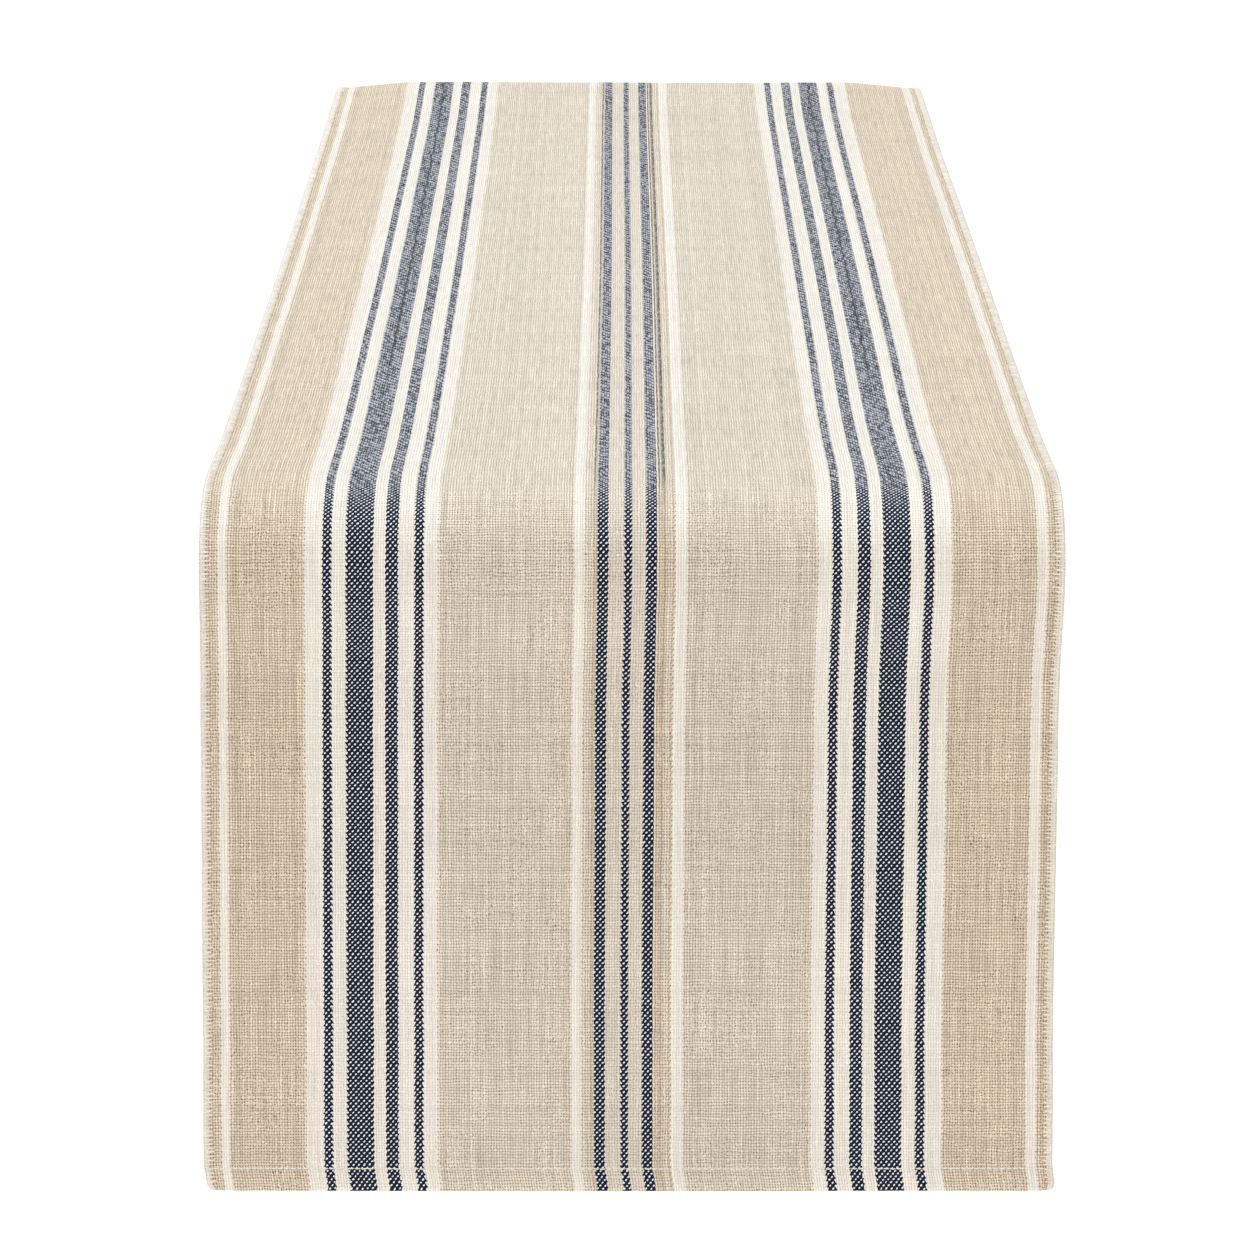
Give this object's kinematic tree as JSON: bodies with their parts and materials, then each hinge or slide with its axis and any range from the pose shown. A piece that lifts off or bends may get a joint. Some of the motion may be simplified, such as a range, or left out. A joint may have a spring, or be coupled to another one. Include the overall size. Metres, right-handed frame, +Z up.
{
  "type": "table runner",
  "caption": "Woven striped table runner with turned hems, lying along a table top, with a drop hanging over each end.",
  "frame": {"origin": "middle of the cloth's underside where it lies on the table top", "axes": "+Z up from the table top, +Y along the runner towards the back drop, +X across it towards the right-hand side hem"},
  "size_m": [0.3556, 1.2698, 0.2954],
  "materials": {
    "woven_cloth": "matt plain-woven cotton, beige with cream and navy warp stripes",
    "turned_hem": "the same cotton cloth turned under",
    "seam_thread": "cream cotton sewing thread",
    "overcast_thread": "beige cotton sewing thread"
  },
  "bodies": {
    "top_section": {"top_panel": "woven_cloth", "front_roll_panel": "woven_cloth", "back_roll_panel": "woven_cloth", "left_side_hem_top": "turned_hem", "left_side_hem_front_roll": "turned_hem", "left_side_hem_back_roll": "turned_hem", "right_side_hem_top": "turned_hem", "right_side_hem_front_roll": "turned_hem", "right_side_hem_back_roll": "turned_hem", "left_overcast_thread_top": "overcast_thread", "right_overcast_thread_top": "overcast_thread"},
    "front_drop": {"front_drop_panel": "woven_cloth", "left_side_hem_front_drop": "turned_hem", "right_side_hem_front_drop": "turned_hem", "front_end_hem": "turned_hem", "front_end_hem_thread": "seam_thread", "left_overcast_thread_front_drop": "overcast_thread", "right_overcast_thread_front_drop": "overcast_thread"},
    "back_drop": {"back_drop_panel": "woven_cloth", "left_side_hem_back_drop": "turned_hem", "right_side_hem_back_drop": "turned_hem", "back_end_hem": "turned_hem", "back_end_hem_thread": "seam_thread", "left_overcast_thread_back_drop": "overcast_thread", "right_overcast_thread_back_drop": "overcast_thread"}
  },
  "joints": [
    {"name": "front_drop_lift", "type": "hinge", "parent": "top_section", "child": "front_drop", "pos_m": [0, -0.62697, -0.00457], "axis": [-1, 0, 0], "range_deg": [0, 90]},
    {"name": "back_drop_lift", "type": "hinge", "parent": "top_section", "child": "back_drop", "pos_m": [0, 0.62697, -0.00457], "axis": [1, 0, 0], "range_deg": [0, 90]}
  ]
}
